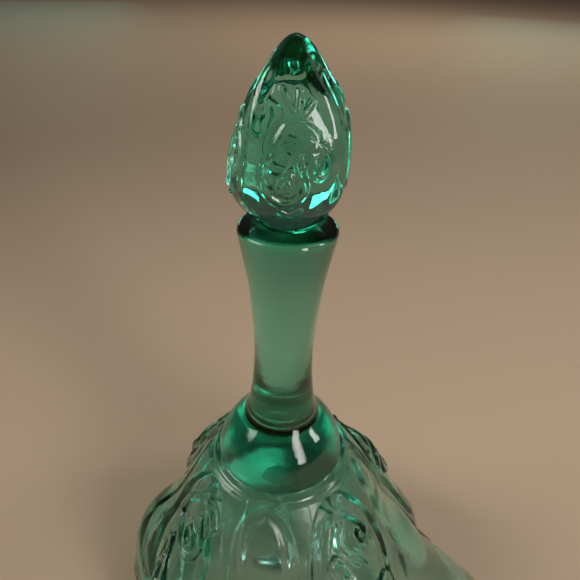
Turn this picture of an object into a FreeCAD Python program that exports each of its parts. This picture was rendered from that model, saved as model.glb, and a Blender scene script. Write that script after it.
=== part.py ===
import FreeCAD, Part
import math
import os

# A pressed-glass hand bell, in millimetres, +Z up.
# The origin is the centre of the rim, on the plane that it stands on. The flare leans towards +X,
# so the handle's axis stands off from the origin towards -X by the lean at the rim.
# Shapes are built about the handle's axis and moved into place when they are saved.
# Azimuth is measured about +Z from -Y towards +X, so the front is azimuth 0.

# Heights of the glass body
SKIRT_TOP = 67.0
COLLAR_TOP = 82.0
RIM_TOP = 135.0
TIP = 171.0

# Skirt: lobed sections from the shoulder down to the rim.
# Each row is height, mean radius, four-lobe depth, eight-lobe depth, lean towards +X.
RIM_LEAN = 10.5
PANEL_AZ = 41.0
BROAD_LOBES = 4
ALL_LOBES = 8
SKIRT_OUTSIDE = (
    (SKIRT_TOP, 18.0, 0.0, 0.0, 0.0),
    (59.0, 23.4, 0.2, 0.3, 0.3),
    (51.0, 28.3, 1.2, 0.9, 0.8),
    (43.0, 33.0, 2.1, 2.0, 1.0),
    (35.0, 38.0, 0.8, 3.3, 0.8),
    (27.0, 42.3, 0.5, 3.5, 1.2),
    (19.0, 45.2, -0.3, 3.4, 3.0),
    (11.0, 47.8, -2.2, 4.2, 6.8),
    (0.0, 52.0, -3.8, 4.8, RIM_LEAN),
)
CEILING = 60.0
SKIRT_INSIDE = (
    (CEILING, 7.0, 0.0, 0.0, 0.0),
    (57.0, 14.5, 0.0, 0.0, 0.3),
    (51.0, 22.0, 0.3, 0.3, 0.8),
    (43.0, 26.6, 0.6, 0.8, 1.0),
    (35.0, 32.4, 0.5, 2.0, 0.8),
    (27.0, 37.2, 0.3, 2.4, 1.2),
    (19.0, 40.7, -0.2, 2.6, 3.0),
    (11.0, 43.8, -2.0, 3.7, 6.8),
    (0.0, 48.4, -3.6, 4.4, RIM_LEAN),
)
POINTS_PER_SECTION = 48

# Collar: a solid dome with a thin lip standing proud of the skirt
COLLAR_LIP_R = 16.7
COLLAR_LIP_THICK = 1.3
COLLAR_LIP_RISE = 0.6
COLLAR_SEAT_R = 16.0
COLLAR_NECK_R = 9.0

# Handle
HANDLE_FOOT_R = 8.8
BEAD_Z = 86.0
BEAD_R = 8.5
BEAD_HALF = 1.2
GROOVE_R = 7.9
WAIST_Z = 102.5
WAIST_R = 7.1
RIM_R = 10.8
RIM_EDGE_ROUND = 1.2

# Finial: a solid bud standing on the flat top of the handle
FINIAL_SEAT_R = 5.2
FINIAL_BELLY_Z = 148.0
FINIAL_BELLY_R = 12.0
FINIAL_SHOULDER_R = 10.4

# Clapper hanger, chain and clapper
WIRE_R = 0.6
LOOP_R = 1.9
LINK_HALF = 2.2
SLACK = 0.1
LINK_COUNT = 3
CAP_R = 2.6
CAP_THICK = 1.6
SHANK_R = 0.8
FIT_GAP = 0.02
SHANK_SINK = 1.2
EYE_Z = 54.6
BALL_R = 6.5
BALL_Z = 15.0
HEAD_R = 1.4
HEAD_THICK = 1.1

UP = FreeCAD.Vector(0, 0, 1)


def point(x, z):
    return FreeCAD.Vector(x, 0, z)


def lobed_wire(row):
    """One closed section of the skirt, with its lobes, leaning towards +X."""
    z, mean, broad, fine, lean = row
    points = []
    for i in range(POINTS_PER_SECTION):
        azimuth = 2 * math.pi * i / POINTS_PER_SECTION
        turn = azimuth - math.radians(PANEL_AZ)
        radius = mean + broad * math.cos(BROAD_LOBES * turn) + fine * math.cos(ALL_LOBES * turn)
        x = radius * math.sin(azimuth) + lean
        points.append(FreeCAD.Vector(x, -radius * math.cos(azimuth), z))
    curve = Part.BSplineCurve()
    curve.interpolate(points, PeriodicFlag=True)
    return Part.Wire(curve.toShape())


def lobed_solid(rows):
    return Part.makeLoft([lobed_wire(row) for row in rows], True, False, False, 3)


def turned(edges):
    """A solid of revolution about the axis from a closed half outline."""
    wire = Part.Wire(edges)
    return Part.makeSolid(Part.Face(wire).revolve(FreeCAD.Vector(), UP, 360))


def line(a, b):
    return Part.LineSegment(a, b).toShape()


def curve_through(points):
    curve = Part.BSplineCurve()
    curve.interpolate(points)
    return curve.toShape()


def skirt():
    return lobed_solid(SKIRT_OUTSIDE).cut(lobed_solid(SKIRT_INSIDE))


def collar():
    foot = point(0, SKIRT_TOP)
    seat = point(COLLAR_SEAT_R, SKIRT_TOP)
    lip_low = point(COLLAR_LIP_R, SKIRT_TOP + COLLAR_LIP_RISE)
    lip_high = point(COLLAR_LIP_R, SKIRT_TOP + COLLAR_LIP_RISE + COLLAR_LIP_THICK)
    dome = [
        lip_high,
        point(15.8, 73.0),
        point(14.1, 76.2),
        point(12.0, 78.8),
        point(10.1, 80.8),
        point(COLLAR_NECK_R, COLLAR_TOP),
    ]
    neck = point(0, COLLAR_TOP)
    return turned([
        line(foot, seat),
        line(seat, lip_low),
        line(lip_low, lip_high),
        curve_through(dome),
        line(dome[-1], neck),
        line(neck, foot),
    ])


def handle():
    foot = point(HANDLE_FOOT_R, COLLAR_TOP)
    under_bead = point(GROOVE_R, BEAD_Z - BEAD_HALF)
    over_bead = point(GROOVE_R, BEAD_Z + BEAD_HALF)
    bead = Part.Arc(under_bead, point(BEAD_R, BEAD_Z), over_bead).toShape()
    shaft = curve_through([
        over_bead,
        point(7.4, 94.0),
        point(WAIST_R, WAIST_Z),
        point(7.8, 114.0),
        point(8.9, 122.5),
        point(10.0, 129.0),
        point(RIM_R, RIM_TOP - RIM_EDGE_ROUND),
    ])
    rim_low = point(RIM_R, RIM_TOP - RIM_EDGE_ROUND)
    rim_high = point(RIM_R - RIM_EDGE_ROUND, RIM_TOP)
    bulge = RIM_EDGE_ROUND * (1 - math.sqrt(0.5))
    rim = Part.Arc(rim_low, point(RIM_R - bulge, RIM_TOP - bulge), rim_high).toShape()
    return turned([
        line(point(0, COLLAR_TOP), foot),
        line(foot, under_bead),
        bead,
        shaft,
        rim,
        line(rim_high, point(0, RIM_TOP)),
        line(point(0, RIM_TOP), point(0, COLLAR_TOP)),
    ])


def finial():
    outline = [
        point(FINIAL_SEAT_R, RIM_TOP),
        point(9.8, 139.6),
        point(FINIAL_BELLY_R, FINIAL_BELLY_Z),
        point(FINIAL_SHOULDER_R, 157.2),
        point(6.2, 165.2),
        point(0, TIP),
    ]
    seat = point(0, RIM_TOP)
    return turned([
        line(seat, outline[0]),
        curve_through(outline),
        line(outline[-1], seat),
    ])


def wire_along(edges, start, heading):
    """Round wire along a path of straight runs and arcs."""
    profile = Part.Wire(Part.makeCircle(WIRE_R, start, heading))
    return Part.Wire(edges).makePipeShell([profile], True, True)


def across(plane, offset, z):
    """A point in the loop's own plane: XZ or YZ."""
    if plane == "XZ":
        return FreeCAD.Vector(offset, 0, z)
    return FreeCAD.Vector(0, offset, z)


def chain_link(plane, centre):
    high = centre + LINK_HALF
    low = centre - LINK_HALF
    right_high = across(plane, LOOP_R, high)
    right_low = across(plane, LOOP_R, low)
    left_high = across(plane, -LOOP_R, high)
    left_low = across(plane, -LOOP_R, low)
    path = [
        line(right_low, right_high),
        Part.Arc(right_high, across(plane, 0, high + LOOP_R), left_high).toShape(),
        line(left_high, left_low),
        Part.Arc(left_low, across(plane, 0, low - LOOP_R), right_low).toShape(),
    ]
    return wire_along(path, right_low, UP)


def ring(z):
    facing = FreeCAD.Vector(0, 1, 0)
    return Part.makeTorus(LOOP_R, WIRE_R, FreeCAD.Vector(0, 0, z), facing)


def rod(radius, low, high):
    return Part.makeCylinder(radius, high - low, FreeCAD.Vector(0, 0, low), UP)


def hanger_cap():
    low = CEILING - CAP_THICK
    bore = rod(SHANK_R + FIT_GAP, low - 1, low + SHANK_SINK)
    return rod(CAP_R, low, CEILING).cut(bore)


def hanger_eye():
    shank = rod(SHANK_R, EYE_Z + LOOP_R, CEILING - CAP_THICK + SHANK_SINK - FIT_GAP)
    return ring(EYE_Z).fuse(shank).removeSplitter()


def clapper_wire(loop_z):
    shank = rod(WIRE_R, BALL_Z - BALL_R - HEAD_THICK, loop_z - LOOP_R)
    head = rod(HEAD_R, BALL_Z - BALL_R - HEAD_THICK, BALL_Z - BALL_R)
    return ring(loop_z).fuse(shank).fuse(head).removeSplitter()


def clapper_ball():
    bore = rod(WIRE_R + FIT_GAP, BALL_Z - BALL_R - 1, BALL_Z + BALL_R + 1)
    return Part.makeSphere(BALL_R, FreeCAD.Vector(0, 0, BALL_Z)).cut(bore)


def save(shape, name):
    solid = shape.Solids[0]
    solid.translate(FreeCAD.Vector(-RIM_LEAN, 0, 0))
    solid.exportStep("parts/" + name + ".step")
    print(name, "solids", len(shape.Solids), "valid", solid.isValid(), "mm3", round(solid.Volume, 1))


os.makedirs("parts", exist_ok=True)
save(skirt(), "skirt")
save(collar(), "collar")
save(handle(), "handle")
save(finial(), "finial")
save(hanger_cap(), "hanger_cap")
save(hanger_eye(), "hanger_eye")

# Each link hangs from the wire above it, a hair clear of it, and turns a quarter turn from it.
hang_z = EYE_Z - LOOP_R
for number in range(1, LINK_COUNT + 1):
    top_arc = hang_z + WIRE_R + SLACK + WIRE_R - LOOP_R
    link_plane = "YZ" if number % 2 else "XZ"
    save(chain_link(link_plane, top_arc - LINK_HALF), "chain_link_" + str(number))
    hang_z = top_arc - 2 * LINK_HALF - LOOP_R
save(clapper_wire(hang_z + 2 * WIRE_R + SLACK - LOOP_R), "clapper_wire")
save(clapper_ball(), "clapper_ball")
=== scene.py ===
import math

import bpy
import numpy as np
from mathutils import Matrix, Vector

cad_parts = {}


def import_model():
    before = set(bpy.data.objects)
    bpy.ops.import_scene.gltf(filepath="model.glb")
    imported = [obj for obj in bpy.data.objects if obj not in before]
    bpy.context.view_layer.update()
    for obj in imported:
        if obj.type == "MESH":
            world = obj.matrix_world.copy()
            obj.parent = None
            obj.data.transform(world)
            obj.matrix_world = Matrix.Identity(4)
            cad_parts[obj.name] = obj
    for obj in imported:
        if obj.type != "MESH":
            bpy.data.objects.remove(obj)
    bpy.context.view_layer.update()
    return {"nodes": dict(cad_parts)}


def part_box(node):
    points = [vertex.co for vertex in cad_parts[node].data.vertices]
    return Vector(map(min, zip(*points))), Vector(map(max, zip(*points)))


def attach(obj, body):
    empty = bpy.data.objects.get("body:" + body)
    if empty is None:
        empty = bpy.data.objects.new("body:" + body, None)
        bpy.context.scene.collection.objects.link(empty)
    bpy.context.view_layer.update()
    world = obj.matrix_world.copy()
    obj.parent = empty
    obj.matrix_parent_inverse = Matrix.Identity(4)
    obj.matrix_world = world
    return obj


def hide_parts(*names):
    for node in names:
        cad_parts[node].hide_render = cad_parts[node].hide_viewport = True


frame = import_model()

# Shapes are worked out in millimetres about the handle's axis, with azimuth 0 towards -Y and
# growing towards +X, and turned into metres in the frame when a mesh is made. Heights are above
# the table unless a comment says otherwise.
MM = 0.001
QUARTER = math.pi / 2
FULL_TURN = 2 * math.pi
handle_low, handle_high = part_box("handle")
AXIS_X = (handle_low.x + handle_high.x) / 2
RIM_TOP = handle_high.z / MM
COLLAR_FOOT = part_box("collar")[0].z / MM
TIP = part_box("finial")[1].z / MM
# The glass closes round the hanger's cap by a hair, so that no surface lies on another.
BOND = 0.03
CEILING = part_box("hanger_cap")[1].z / MM - BOND


# ---------------------------------------------------------------- numbers and curves

SPIRAL_SPACING = 0.12
CURVE_REACH = 4.0
FAR = 99.0
PAIRS_AT_ONCE = 4000000


def smooth_table(x, rows):
    """Columns of a table read at x, with smooth slopes. The first column rises or falls."""
    rows = np.array(sorted(rows), float)
    xs = rows[:, 0]
    slopes = np.gradient(rows[:, 1:], xs, axis=0)
    x = np.clip(x, xs[0], xs[-1])
    i = np.clip(np.searchsorted(xs, x) - 1, 0, len(xs) - 2)
    step = xs[i + 1] - xs[i]
    t = (x - xs[i]) / step
    h00 = 2 * t**3 - 3 * t**2 + 1
    h10 = t**3 - 2 * t**2 + t
    h01 = 3 * t**2 - 2 * t**3
    h11 = t**3 - t**2
    columns = []
    for c in range(rows.shape[1] - 1):
        y = rows[:, c + 1]
        m = slopes[:, c]
        columns.append(h00 * y[i] + h10 * step * m[i] + h01 * y[i + 1] + h11 * step * m[i + 1])
    return columns


def through(points, spacing):
    """A smooth curve through the points (centripetal Catmull-Rom), sampled at about this spacing."""
    p = np.array(points, float)
    p = np.vstack([2 * p[0] - p[1], p, 2 * p[-1] - p[-2]])
    out = []
    for a, b, c, d in zip(p[:-3], p[1:-2], p[2:-1], p[3:]):
        t1 = np.linalg.norm(b - a) ** 0.5
        t2 = t1 + np.linalg.norm(c - b) ** 0.5
        t3 = t2 + np.linalg.norm(d - c) ** 0.5
        count = max(2, int(np.linalg.norm(c - b) / spacing) + 1)
        t = np.linspace(t1, t2, count, endpoint=False)[:, None]
        a1 = (t1 - t) / t1 * a + t / t1 * b
        a2 = (t2 - t) / (t2 - t1) * b + (t - t1) / (t2 - t1) * c
        a3 = (t3 - t) / (t3 - t2) * c + (t - t2) / (t3 - t2) * d
        b1 = (t2 - t) / t2 * a1 + t / t2 * a2
        b2 = (t3 - t) / (t3 - t1) * a2 + (t - t1) / (t3 - t1) * a3
        out.append((t2 - t) / (t2 - t1) * b1 + (t - t1) / (t2 - t1) * b2)
    out.append(p[-2:-1])
    return np.vstack(out)


def spiral(centre, start_angle, turns, radius, end_radius):
    """A curl that winds in, anticlockwise, from radius to end_radius."""
    count = int(turns * FULL_TURN * radius / SPIRAL_SPACING) + 8
    t = np.linspace(0, 1, count)
    angle = math.radians(start_angle) + FULL_TURN * turns * t
    r = radius + (end_radius - radius) * t
    return np.array(centre) + np.stack([r * np.cos(angle), r * np.sin(angle)], 1)


def distance(x, y, curve):
    """Distance from each point to the nearest sample of a curve, or FAR where none is in reach."""
    flat = np.stack([x.ravel(), y.ravel()], 1)
    low = curve.min(0) - CURVE_REACH
    high = curve.max(0) + CURVE_REACH
    near = np.where(((flat > low) & (flat < high)).all(1))[0]
    out = np.full(len(flat), FAR)
    for part in np.array_split(near, max(1, len(near) * len(curve) // PAIRS_AT_ONCE)):
        gap = flat[part][:, None, :] - curve[None, :, :]
        out[part] = np.sqrt((gap**2).sum(2).min(1))
    return out.reshape(x.shape)


def bump(d, width):
    """1 on a line and 0 beyond its width, rounded at the top."""
    return np.cos(np.clip(d / width, 0, 1) * QUARTER) ** 2


def ease(v):
    """0 up to 0 and 1 from 1, with a smooth step between."""
    v = np.clip(v, 0, 1)
    return v * v * (3 - 2 * v)


# ---------------------------------------------------------------- the skirt

# Sections of the skirt: height, mean radius, four-lobe depth, eight-lobe depth, lean towards +X
SHOULDER = 67.0
OUTSIDE = (
    (SHOULDER, 18.0, 0.0, 0.0, 0.0),
    (59.0, 23.4, 0.2, 0.3, 0.3),
    (51.0, 28.3, 1.2, 0.9, 0.8),
    (43.0, 33.0, 2.1, 2.0, 1.0),
    (35.0, 38.0, 0.8, 3.3, 0.8),
    (27.0, 42.3, 0.5, 3.5, 1.2),
    (19.0, 45.2, -0.3, 3.4, 3.0),
    (11.0, 47.8, -2.2, 4.2, 6.8),
    (0.0, 52.0, -3.8, 4.8, 10.5),
)
INSIDE = (
    (60.0, 7.0, 0.0, 0.0, 0.0),
    (57.0, 14.5, 0.0, 0.0, 0.3),
    (51.0, 22.0, 0.3, 0.3, 0.8),
    (43.0, 26.6, 0.6, 0.8, 1.0),
    (35.0, 32.4, 0.5, 2.0, 0.8),
    (27.0, 37.2, 0.3, 2.4, 1.2),
    (19.0, 40.7, -0.2, 2.6, 3.0),
    (11.0, 43.8, -2.0, 3.7, 6.8),
    (0.0, 48.4, -3.6, 4.4, 10.5),
)
# Azimuth, in degrees, of one lobe and of the middle of one medallion, of four each
LOBE_AZ = 41.0
PANEL_AZ = 37.3
# How far the pattern is drawn round towards the sides, in degrees, as the skirt leans
SPREAD = 6.0
# Holds the pattern's highest lines within the design's size
FIT = 0.998
COLUMNS = 800
PLAIN_COLUMNS = 200
SKIRT_ROWS = 230
SKIRT_TOP = 66.9
# Where the rounded lip at the skirt's foot begins, and its rings
LIP = 0.3
LIP_RINGS = 7


def section(rows, azimuth, z):
    """(x, y) of a lobed section of the skirt, about the handle's axis."""
    mean, broad, fine, lean = smooth_table(z, rows)
    turn = azimuth - math.radians(LOBE_AZ)
    radius = (mean + broad * np.cos(4 * turn) + fine * np.cos(8 * turn)) * FIT
    return radius * np.sin(azimuth) + lean, -radius * np.cos(azimuth)


def slant(z):
    """Length down the skirt's mean outline from its shoulder, for each height."""
    heights = np.linspace(SHOULDER, 0.0, 400)
    radii = smooth_table(heights, OUTSIDE)[0]
    steps = np.hypot(np.diff(heights), np.diff(radii))
    return np.interp(-z, -heights, np.concatenate([[0], np.cumsum(steps)]))


def on_panel(points):
    """Points given as (degrees from a panel's middle, height), in millimetres on the glass."""
    p = np.array(points, float)
    radii = smooth_table(p[:, 1], OUTSIDE)[0]
    return np.stack([np.radians(p[:, 0]) * radii, -slant(p[:, 1])], 1)


# The two designs pressed into the medallions in turn, as (degrees from the middle, height)
CREST = (
    ((-20.5, 47.5), (-18.5, 53.5), (-16.5, 56.5), (-13.5, 58.5), (-10.0, 60.0), (-5.0, 60.5),
     (1.5, 60.5), (7.5, 59.0), (11.5, 56.5), (13.0, 54.5), (11.5, 53.0), (8.5, 52.5), (7.0, 54.5)),
    ((-2.0, 59.0), (-5.5, 57.0), (-6.5, 55.0), (-5.5, 53.0), (-3.0, 52.0), (0.5, 50.0)),
    ((1.0, 58.5), (-2.0, 57.0), (-3.0, 55.0), (-1.5, 53.5), (2.0, 51.5), (4.5, 49.0)),
    ((-6.0, 52.0), (-9.5, 53.0), (-13.0, 51.0), (-12.5, 49.0), (-8.5, 48.0), (-5.5, 49.5),
     (-6.5, 51.0), (-9.0, 51.0)),
)
CURL = (
    ((6.5, 56.5), (9.5, 54.0), (12.5, 50.5), (10.5, 48.5), (5.0, 48.0), (-3.5, 48.0),
     (-12.0, 47.5), (-15.5, 49.5), (-14.0, 53.0), (-6.0, 57.5), (-0.5, 59.5), (5.0, 60.0),
     (11.5, 59.0), (15.5, 56.5)),
    ((2.0, 52.5), (6.5, 52.0), (9.0, 50.0), (6.5, 49.5), (2.5, 49.5), (0.5, 51.0)),
)
# Three drops that stand over either design: (root, tip)
PETALS = (
    ((-1.0, 61.5), (-6.5, 64.0)),
    ((0.5, 61.5), (1.0, 64.5)),
    ((2.5, 61.5), (9.5, 62.5)),
)
# Right half of the borders of a medallion and of the plain flute beside it
MEDALLION = (
    (0.0, 65.5), (8.0, 65.0), (13.0, 63.5), (18.0, 60.5), (23.5, 54.5), (25.5, 47.0),
    (24.5, 40.0), (21.0, 32.5), (19.0, 24.0), (18.0, 15.0), (17.0, 4.0),
)
FLUTE = (
    (0.0, 66.0), (8.0, 65.0), (14.0, 63.0), (17.5, 59.0), (18.0, 54.0), (17.5, 47.0),
    (18.0, 40.0), (21.0, 32.5), (23.5, 24.0), (25.0, 15.0), (26.0, 4.0),
)
# The design comes again lower down, larger and turned left to right
LOWER_DROP = 22.0
LOWER_SIZE = 1.2
DESIGN_MIDDLE = 54.0
CURVE_SPACING = 0.3
# The pattern fades out at the shoulder and at the foot
PATTERN_TOP, TOP_FADE = 66.6, 1.5
PATTERN_FOOT, FOOT_FADE = 1.0, 5.0


def band(d, half, soft):
    """1 within half of a line and 0 beyond, over a soft edge on each side."""
    return ease((half + soft / 2 - d) / soft)


def border(points):
    """A border through half a panel's points and their mirror image."""
    left = [(-degrees, level) for degrees, level in points[:0:-1]]
    return through(on_panel(left + list(points)), CURVE_SPACING)


def signed(x, y, points):
    """Distance inside a border: above 0 inside it, below 0 outside."""
    edge = on_panel(points)
    level = np.clip(y, edge[-1, 1], edge[0, 1])
    half = np.interp(-level, -edge[:, 1], edge[:, 0])
    inside = (np.abs(x) < half) & (y < edge[0, 1])
    return distance(x, y, border(points)) * np.where(inside, 1, -1)


def scrolls(x, y, design):
    """Height of the scrolls inside a medallion: one set high up, and a larger one below it."""
    height = np.zeros_like(x)
    middle = on_panel([(0.0, DESIGN_MIDDLE)])[0]
    for size, drop, side in ((1.0, 0.0, 1), (LOWER_SIZE, LOWER_DROP, -1)):
        for index, points in enumerate(design):
            tall, half = (1.15, 0.85) if index == 0 else (0.9, 0.6)
            curve = through(on_panel(points), CURVE_SPACING)
            curve = (curve - middle) * [size * side, size] + middle - [0, drop]
            d = distance(x, y, curve)
            height = np.maximum(height, tall * band(d, half * size, 0.75))
    for points in PETALS:
        root, tip = on_panel(points)
        t = np.clip(((x - root[0]) * (tip[0] - root[0]) + (y - root[1]) * (tip[1] - root[1]))
                    / ((tip - root)**2).sum(), 0, 1)
        d = np.hypot(x - root[0] - t * (tip[0] - root[0]), y - root[1] - t * (tip[1] - root[1]))
        height = np.maximum(height, (0.3 + 0.7 * t) * bump(d, 0.6 + 0.75 * t))
    return height


def pressed(x, y, design):
    """A medallion round its design, or a plain flute with a lower border where there is none."""
    if design is None:
        d = signed(x, y, FLUTE)
        return 0.75 * bump(d, 0.9) - 0.6 * bump(d - 2.4, 2.0)
    d = signed(x, y, MEDALLION)
    edge = 1.45 * bump(d, 1.2) - 1.3 * bump(d - 2.6, 1.8) + 0.55 * bump(d - 4.7, 0.9)
    return edge + scrolls(x, y, design)


def relief(azimuth, z):
    """Height of the pressed pattern above the plain skirt, for grids of azimuth and height."""
    mould = azimuth - np.radians(SPREAD) * np.sin(azimuth)
    radii = smooth_table(z, OUTSIDE)[0]
    y = -slant(z)
    height = np.zeros_like(z)
    for index in range(4):
        medallion = math.radians(PANEL_AZ) + index * QUARTER
        design = CREST if index % 2 == 0 else CURL
        panels = ((medallion, 31.0, design), (medallion + QUARTER / 2, 28.0, None))
        for middle, half_width, inside in panels:
            turn = (mould - middle + math.pi) % FULL_TURN - math.pi
            near = np.abs(turn) < math.radians(half_width)
            columns = near.any(0)
            h = pressed((turn * radii)[:, columns], y[:, columns], inside)
            height[:, columns] += h * near[:, columns]
    top_fade = ease((PATTERN_TOP - z) / TOP_FADE)
    foot_fade = ease((z - PATTERN_FOOT) / FOOT_FADE)
    return height * top_fade * foot_fade


# ---------------------------------------------------------------- closed surfaces


def ring_faces(upper, lower, n_upper, n_lower):
    """Faces between two rings, where one may have a whole number of times the other's points."""
    if n_upper == n_lower:
        i = np.arange(n_upper)
        j = (i + 1) % n_upper
        return np.stack([upper + i, lower + i, lower + j, upper + j], 1).tolist()
    fine, coarse = (upper, lower) if n_upper > n_lower else (lower, upper)
    count = min(n_upper, n_lower)
    times = max(n_upper, n_lower) // count
    faces = []
    for k in range(count):
        here = coarse + k
        after = coarse + (k + 1) % count
        fan = [fine + (k * times + m) % (count * times) for m in range(times + 1)]
        half = times // 2
        for m in range(times):
            faces.append((fan[m], here if m < half else after, fan[m + 1]))
        faces.append((fan[half], here, after))
    if n_upper < n_lower:
        faces = [face[::-1] for face in faces]
    return faces


def ring_mesh(name, rings, poles):
    """A closed surface from rings of points, from the top pole round to the last one."""
    points = np.concatenate([[poles[0]]] + rings + [[poles[1]]]) * MM
    points[:, 0] += AXIS_X
    counts = [len(r) for r in rings]
    starts = (1 + np.concatenate([[0], np.cumsum(counts)])).tolist()
    faces = [(0, 1 + k, 1 + (k + 1) % counts[0]) for k in range(counts[0])]
    for r in range(len(rings) - 1):
        faces += ring_faces(starts[r], starts[r + 1], counts[r], counts[r + 1])
    n = counts[-1]
    faces += [(starts[-1], starts[-2] + (k + 1) % n, starts[-2] + k) for k in range(n)]
    mesh = bpy.data.meshes.new(name)
    mesh.from_pydata(points.tolist(), [], faces)
    mesh.validate()
    mesh.update()
    mesh.polygons.foreach_set("use_smooth", np.ones(len(mesh.polygons), bool))
    obj = bpy.data.objects.new(name, mesh)
    bpy.context.scene.collection.objects.link(obj)
    return obj


def face_normals(grid):
    """Unit normals of a (rows, columns, 3) grid that closes round its columns."""
    down = np.gradient(grid, axis=0)
    round_ = np.roll(grid, -1, 1) - np.roll(grid, 1, 1)
    normal = np.cross(down, round_)
    return normal / np.linalg.norm(normal, axis=2, keepdims=True)


def turned_rings(profile):
    """Rings of a plain turned shape from (radius, height) points."""
    az = np.linspace(0, FULL_TURN, PLAIN_COLUMNS, endpoint=False)
    level = np.ones(PLAIN_COLUMNS)
    return [np.stack([r * np.sin(az), -r * np.cos(az), z * level], 1) for r, z in profile]


# ---------------------------------------------------------------- the glass bell

# (radius, height above the handle's top)
HANDLE_OUTLINE = (
    (9.2, 0.0), (9.9, -0.12), (10.5, -0.5), (10.8, -1.2), (10.72, -2.2), (10.3, -4.6),
    (9.5, -8.8), (8.6, -14.0), (7.9, -20.2), (7.35, -26.5), (7.1, -33.0), (7.3, -39.5),
    (7.75, -44.8), (8.2, -48.2), (8.62, -50.6), (8.95, -51.6), (8.98, -52.2), (9.2, -52.9),
)
# (radius, height above the collar's foot)
COLLAR_OUTLINE = (
    (9.2, 15.1), (9.9, 14.1), (11.2, 12.8), (12.8, 11.1), (14.3, 8.9), (15.5, 6.3),
    (16.3, 3.8), (16.68, 2.2), (16.65, 1.3), (16.2, 0.7), (16.35, 0.25), (17.2, 0.05),
)


# Heights of the rings inside the skirt: even up the wall, then closer where it rounds over
INNER_WALL = np.linspace(LIP, 57.0, 60)
INNER_SHOULDER = (57.8, 58.6, 59.2, 59.6, 59.85)


def stem_rings():
    """The handle's flat top, the handle and the collar, downwards."""
    top = [(r, RIM_TOP) for r in np.linspace(1.0, 9.0, 6)]
    handle = through([(r, RIM_TOP + z) for r, z in HANDLE_OUTLINE], 0.7)
    collar = through([(r, COLLAR_FOOT + z) for r, z in COLLAR_OUTLINE], 0.45)
    return turned_rings(top) + turned_rings(handle[:-1]) + turned_rings(collar)


def outer_rings():
    """The skirt's outside with its pressed pattern, downwards."""
    az = np.linspace(0, FULL_TURN, COLUMNS, endpoint=False)
    heights = np.linspace(SKIRT_TOP, LIP, SKIRT_ROWS)
    z = np.repeat(heights[:, None], COLUMNS, 1)
    azimuth = np.repeat(az[None], len(heights), 0)
    x, y = section(OUTSIDE, azimuth, z)
    outer = np.stack([x, y, z], 2)
    return list(outer + face_normals(outer) * relief(azimuth, z)[..., None])


def inner_rings():
    """The rounded lip at the foot, the plain inside of the skirt upwards, and its ceiling."""
    az = np.linspace(0, FULL_TURN, PLAIN_COLUMNS, endpoint=False)
    flat = np.ones(PLAIN_COLUMNS)
    outside = np.array(section(OUTSIDE, az, LIP * flat))
    inside = np.array(section(INSIDE, az, LIP * flat))
    rings = []
    for t in np.linspace(0, math.pi, LIP_RINGS + 2)[1:-1]:
        x, y = outside + (inside - outside) * (1 - math.cos(t)) / 2
        rings.append(np.stack([x, y, LIP * (1 - math.sin(t)) * flat], 1))
    for level in (*INNER_WALL, *INNER_SHOULDER):
        x, y = section(INSIDE, az, level * flat)
        rings.append(np.stack([x, y, level * flat], 1))
    return rings + turned_rings([(r, CEILING) for r in (5.5, 4.0, 2.0)])


def glass_body():
    """Handle, collar and skirt as the one moulding that they are."""
    rings = stem_rings() + outer_rings() + inner_rings()
    return ring_mesh("glass_bell", rings, [(0, 0, RIM_TOP), (0, 0, CEILING)])


# ---------------------------------------------------------------- the finial

# Heights here are above the handle's top. The finial's foot is let into the handle by a hair,
# as both are one glass. Its outline is (radius of its faces, height).
SUNK = 0.04
FINIAL_OUTLINE = (
    (1.5, -SUNK), (3.6, -SUNK), (5.0, -SUNK), (5.5, 0.15), (6.6, 1.1), (8.3, 2.8), (10.05, 5.2),
    (11.0, 6.9), (11.6, 9.0), (11.75, 11.6), (11.7, 14.2), (11.3, 17.2), (10.1, 22.3),
    (8.3, 26.6), (5.75, 30.6), (4.5, 32.4), (3.2, 34.0), (2.0, 35.15), (1.0, 35.75), (0.35, 35.97),
)
# How far its middle stands from the handle's axis, to the right, at each height
FINIAL_BEND = (
    (0.0, 0.0), (2.8, -0.2), (5.2, -0.6), (8.8, -0.75), (11.3, -0.55), (14.4, -0.3),
    (17.2, 0.0), (22.3, 0.4), (26.5, 0.6), (30.5, 0.45), (34.0, 0.4), (36.0, 0.3),
)
# Azimuth of the middle of its front face at each height: the bud is slightly twisted
FINIAL_TWIST = (
    (0.0, 8.0), (12.0, 8.0), (18.0, 6.0), (22.0, 2.0), (25.5, -4.0), (29.0, -9.0), (36.0, -10.0),
)
FINIAL_COLUMNS = 640
FINIAL_SPACING = 0.17
# The crook on each of its four faces, as (millimetres from the face's middle, height)
CROOK_OUTER = (
    (1.6, 12.4), (1.2, 10.4), (-0.6, 9.0), (-2.6, 8.9), (-4.6, 10.2), (-5.9, 12.4), (-5.9, 15.2),
    (-4.4, 18.4), (-2.7, 21.0), (-1.2, 22.5), (0.5, 23.0), (2.5, 22.3), (3.7, 20.7), (3.2, 19.3),
)
CROOK_INNER = (
    (1.6, 12.4), (0.9, 14.4), (0.2, 16.4), (0.1, 18.2), (0.9, 19.6), (2.3, 20.3), (4.0, 19.6),
    (5.7, 17.8), (5.9, 15.6), (4.6, 13.8), (2.9, 15.1), (3.2, 16.9),
)
CROOK_STEM = ((-4.1, 12.2), (-3.8, 15.0), (-2.3, 18.2), (-0.8, 20.4), (1.0, 21.5), (2.5, 20.9))
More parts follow.
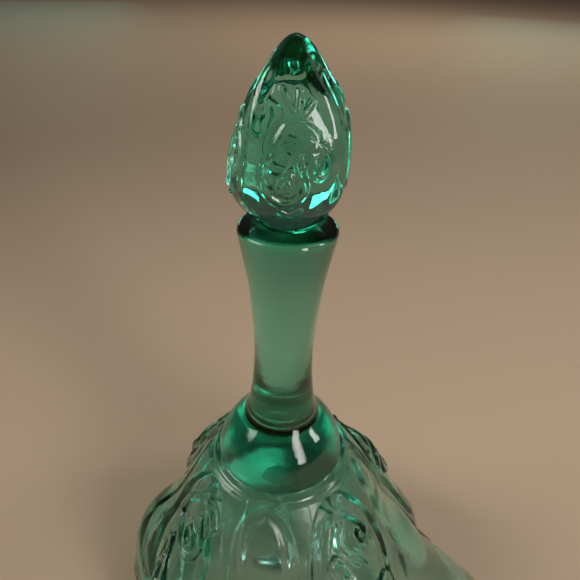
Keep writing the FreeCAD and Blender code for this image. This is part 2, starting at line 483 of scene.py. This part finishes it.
# The lines on a face: (points, height of the line, half its width)
FINIAL_LINE_SPACING = 0.15
FINIAL_LINES = (
    (CROOK_OUTER, 0.6, 0.65),
    (CROOK_INNER, 0.6, 0.6),
    (CROOK_STEM, 0.35, 1.5),
    (((-2.8, 7.6), (-1.0, 6.6), (1.2, 7.6)), 0.5, 0.5),
    (((0.3, 25.2), (-0.7, 26.6), (-1.3, 28.0)), 0.45, 0.5),
    (((1.1, 25.2), (1.4, 26.6), (1.7, 28.0)), 0.45, 0.45),
    (((2.0, 24.6), (2.9, 25.6), (3.6, 26.4)), 0.45, 0.45),
)


def finial_relief(x, y):
    """Height of the scrolls on one face of the finial."""
    lines = [
        (through(points, FINIAL_LINE_SPACING), tall, half) for points, tall, half in FINIAL_LINES
    ]
    lines.append((spiral((-2.2, 12.6), -60, 1.6, 2.3, 0.6), 0.5, 0.42))
    height = np.zeros_like(x)
    for curve, tall, half in lines:
        height = np.maximum(height, tall * band(distance(x, y, curve), half, 0.9))
    return height


def glass_finial():
    """A four-sided bud, slightly bent and twisted, with a rib along each corner."""
    profile = through(FINIAL_OUTLINE, FINIAL_SPACING)
    az = np.linspace(0, FULL_TURN, FINIAL_COLUMNS, endpoint=False)
    r = np.repeat(profile[:, :1], FINIAL_COLUMNS, 1)
    z = np.repeat(profile[:, 1:], FINIAL_COLUMNS, 1)
    azimuth = np.repeat(az[None], len(profile), 0)
    twist = np.radians(smooth_table(z, FINIAL_TWIST)[0])
    turn = (azimuth - twist + QUARTER / 2) % QUARTER - QUARTER / 2
    # 0 in the middle of a face and 1 at its corners
    edge = np.abs(turn) / (QUARTER / 2)
    squareness = ease((z - 3.0) / 7.0) * ease((35.8 - z) / 7.0)
    rib = bump((1 - edge) * r * QUARTER / 2, 2.6)
    hollow = bump(edge - 0.55, 0.35)
    shape = r * (1 + 0.07 * squareness * edge**2) + squareness * (0.45 * rib - 0.25 * hollow)
    shape = shape + 0.85 * finial_relief(turn * r, z) * ease((z - 1.5) / 3.0)
    bend = smooth_table(z, FINIAL_BEND)[0]
    x = shape * np.sin(azimuth) + bend
    y = -shape * np.cos(azimuth)
    rings = list(np.stack([x, y, z + RIM_TOP], 2))[::-1]
    return ring_mesh("glass_finial", rings, [(0.3, 0, TIP), (0, 0, RIM_TOP - SUNK)])


# ---------------------------------------------------------------- materials

# Roughness of the band below the collar that the mould left frosted, and its heights in metres
FROST = 0.26
FROSTED_BAND = (0.052, 0.0675)
WHITE = (1.0, 1.0, 1.0, 1.0)
GLASS_IOR = 1.52
# What the glass lets through in depth, before its density: almost no red
GREEN_PASSED = (0.0, 0.79, 0.64, 1.0)


def new_material(name):
    """A node material with its nodes and links."""
    material = bpy.data.materials.new(name)
    material.use_nodes = True
    return material, material.node_tree.nodes, material.node_tree.links


def frost_between(levels, roughness, nodes, links, shader):
    """Roughness that rises between two heights, slowly from below and quickly at the top."""
    low, high = levels
    plain = (roughness, roughness, roughness, 1.0)
    place = nodes.new("ShaderNodeTexCoord")
    split = nodes.new("ShaderNodeSeparateXYZ")
    level = nodes.new("ShaderNodeMapRange")
    level.inputs["From Min"].default_value = low
    level.inputs["From Max"].default_value = high
    ramp = nodes.new("ShaderNodeValToRGB")
    ramp.color_ramp.elements[0].position = 0.0
    ramp.color_ramp.elements[0].color = plain
    ramp.color_ramp.elements[1].position = 0.98
    ramp.color_ramp.elements[1].color = plain
    for position in (0.6, 0.9):
        stop = ramp.color_ramp.elements.new(position)
        stop.color = (FROST, FROST, FROST, 1.0)
    links.new(place.outputs["Object"], split.inputs[0])
    links.new(split.outputs["Z"], level.inputs["Value"])
    links.new(level.outputs["Result"], ramp.inputs["Fac"])
    links.new(ramp.outputs["Color"], shader.inputs["Roughness"])


def rippled_skin(layers, nodes, links, shader):
    """Faint waves in the glass's skin, from (noise scale, strength, depth) layers."""
    place = nodes.new("ShaderNodeTexCoord")
    skin = None
    for size, strength, depth in layers:
        noise = nodes.new("ShaderNodeTexNoise")
        noise.inputs["Scale"].default_value = size
        noise.inputs["Detail"].default_value = 2.0
        bump_node = nodes.new("ShaderNodeBump")
        bump_node.inputs["Strength"].default_value = strength
        bump_node.inputs["Distance"].default_value = depth
        links.new(place.outputs["Object"], noise.inputs["Vector"])
        links.new(noise.outputs["Fac"], bump_node.inputs["Height"])
        if skin:
            links.new(skin, bump_node.inputs["Normal"])
        skin = bump_node.outputs["Normal"]
    links.new(skin, shader.inputs["Normal"])


def green_glass(name, density, ripple, ripple_size, peel, roughness, frosting=None):
    """Clear green pressed glass: it darkens with depth, and its skin is faintly rippled."""
    material, nodes, links = new_material(name)
    shader = nodes["Principled BSDF"]
    shader.inputs["Base Color"].default_value = WHITE
    shader.inputs["Transmission Weight"].default_value = 1.0
    shader.inputs["IOR"].default_value = GLASS_IOR
    if frosting:
        frost_between(frosting, roughness, nodes, links, shader)
    else:
        shader.inputs["Roughness"].default_value = roughness
    absorb = nodes.new("ShaderNodeVolumeAbsorption")
    absorb.inputs["Color"].default_value = GREEN_PASSED
    absorb.inputs["Density"].default_value = density
    links.new(absorb.outputs[0], nodes["Material Output"].inputs["Volume"])
    rippled_skin(((ripple_size, ripple, 0.0004), (2400.0, peel, 0.00008)), nodes, links, shader)
    return material


def steel(name, colour, roughness):
    """Bare steel with a slightly uneven polish."""
    material, nodes, links = new_material(name)
    shader = nodes["Principled BSDF"]
    shader.inputs["Base Color"].default_value = (*colour, 1.0)
    shader.inputs["Metallic"].default_value = 1.0
    place = nodes.new("ShaderNodeTexCoord")
    noise = nodes.new("ShaderNodeTexNoise")
    noise.inputs["Scale"].default_value = 900.0
    spread = nodes.new("ShaderNodeMapRange")
    spread.inputs["To Min"].default_value = roughness * 0.7
    spread.inputs["To Max"].default_value = roughness * 1.4
    links.new(place.outputs["Object"], noise.inputs["Vector"])
    links.new(noise.outputs["Fac"], spread.inputs["Value"])
    links.new(spread.outputs["Result"], shader.inputs["Roughness"])
    return material


def floor_material():
    """A plain pale matt ground."""
    material, nodes, _ = new_material("floor")
    shader = nodes["Principled BSDF"]
    shader.inputs["Base Color"].default_value = (0.60, 0.44, 0.31, 1.0)
    shader.inputs["Roughness"].default_value = 0.75
    return material


# ---------------------------------------------------------------- assembly

body = glass_body()
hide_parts("handle", "collar", "skirt")
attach(body, "glass")
bell_glass = green_glass("bell_glass", 92.0, 0.2, 260.0, 0.25, 0.03, frosting=FROSTED_BAND)
body.data.materials.append(bell_glass)

finial = glass_finial()
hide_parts("finial")
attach(finial, "glass")
finial_glass = green_glass("finial_glass", 74.0, 0.2, 300.0, 0.12, 0.015)
finial.data.materials.append(finial_glass)

GLASS_NODES = ("handle", "collar", "skirt", "finial")
wire_steel = steel("wire_steel", (0.62, 0.61, 0.58), 0.32)
ball_steel = steel("ball_steel", (0.75, 0.75, 0.74), 0.12)
for node_name, node in frame["nodes"].items():
    if node_name in GLASS_NODES:
        continue
    finish = ball_steel if node_name == "clapper_ball" else wire_steel
    node.data.materials.clear()
    node.data.materials.append(finish)


# ---------------------------------------------------------------- stage, lights and camera

FLOOR_REACH = 6.0


def floor():
    """A level ground for the bell to stand on."""
    far = FLOOR_REACH
    mesh = bpy.data.meshes.new("floor")
    corners = [(-far, -far, 0), (far, -far, 0), (far, far, 0), (-far, far, 0)]
    mesh.from_pydata(corners, [], [(0, 1, 2, 3)])
    obj = bpy.data.objects.new("floor", mesh)
    bpy.context.scene.collection.objects.link(obj)
    mesh.materials.append(floor_material())


def window(name, azimuth, elevation, distance_m, size, power, colour, spread=180.0,
           target=(AXIS_X, 0.0, 0.1)):
    """A soft rectangular light that faces a point, by default the middle of the handle."""
    data = bpy.data.lights.new(name, "AREA")
    data.shape = "RECTANGLE"
    data.size, data.size_y = size
    data.energy = power
    data.spread = math.radians(spread)
    data.color = colour
    obj = bpy.data.objects.new(name, data)
    bpy.context.scene.collection.objects.link(obj)
    a = math.radians(azimuth)
    e = math.radians(elevation)
    away = Vector((math.sin(a) * math.cos(e), -math.cos(a) * math.cos(e), math.sin(e)))
    obj.location = Vector(target) + away * distance_m
    obj.rotation_euler = away.to_track_quat("Z", "Y").to_euler()


def world():
    """Dim warm light of a room from every side."""
    scene_world = bpy.data.worlds.new("room")
    bpy.context.scene.world = scene_world
    scene_world.use_nodes = True
    background = scene_world.node_tree.nodes["Background"]
    background.inputs["Color"].default_value = (0.72, 0.64, 0.56, 1.0)
    background.inputs["Strength"].default_value = 0.09


# The viewer looks down at the bell from close by: metres in front of the handle's axis and above
# its top, and degrees down, to the right and tilted over.
REACH = 0.100
EYE_ABOVE_RIM = 0.0474
PITCH, YAW, ROLL = 32.64, 0.54, 2.34
SENSOR_MM, LENS_MM = 36.0, 32.586


def camera():
    """The main view."""
    data = bpy.data.cameras.new("camera")
    data.sensor_width = SENSOR_MM
    data.lens = LENS_MM
    data.clip_start = 0.001
    data.clip_end = 50.0
    obj = bpy.data.objects.new("camera", data)
    bpy.context.scene.collection.objects.link(obj)
    p, y, r = (math.radians(v) for v in (PITCH, YAW, ROLL))
    ahead = Vector((math.sin(y) * math.cos(p), math.cos(y) * math.cos(p), -math.sin(p)))
    right = Vector((math.cos(y), -math.sin(y), 0))
    up = right.cross(ahead)
    right_rolled = right * math.cos(r) + up * math.sin(r)
    up_rolled = up * math.cos(r) - right * math.sin(r)
    turn = Matrix((right_rolled, up_rolled, -ahead)).transposed()
    place = Vector((AXIS_X, -REACH, RIM_TOP * MM + EYE_ABOVE_RIM))
    obj.matrix_world = Matrix.Translation(place) @ turn.to_4x4()
    bpy.context.scene.camera = obj


DAYLIGHT = (1.0, 0.98, 0.95)
WARM = (1.0, 0.92, 0.82)
TEAL = (0.2, 1.0, 0.8)
# Light crosses many walls of glass on its way through the bell
BOUNCES = 28

floor()
world()
window("window_right", 39, 21, 0.75, (0.16, 0.56), 3.0, DAYLIGHT)
window("window_side", 84, 28, 0.80, (0.10, 0.36), 1.3, DAYLIGHT)
window("window_left", -84, 37, 0.80, (0.46, 0.36), 0.42, (1.0, 0.97, 0.93), 60)
window("key_high", 80, 55, 1.6, (0.8, 0.8), 1.6, WARM)
window("low_back_left", -157, 3.0, 2.6, (0.60, 0.32), 0.18, TEAL, 50)
window("low_back_right", 156, 3.0, 2.6, (0.60, 0.32), 0.20, TEAL, 50)
window("far_wash", 20, 70, 1.6, (1.2, 0.8), 6.0, (1.0, 0.91, 0.80), 120, (0.3, 1.7, 0.0))
camera()
bpy.context.scene.view_settings.view_transform = "Standard"
bpy.context.scene.cycles.max_bounces = BOUNCES
bpy.context.scene.cycles.transmission_bounces = BOUNCES
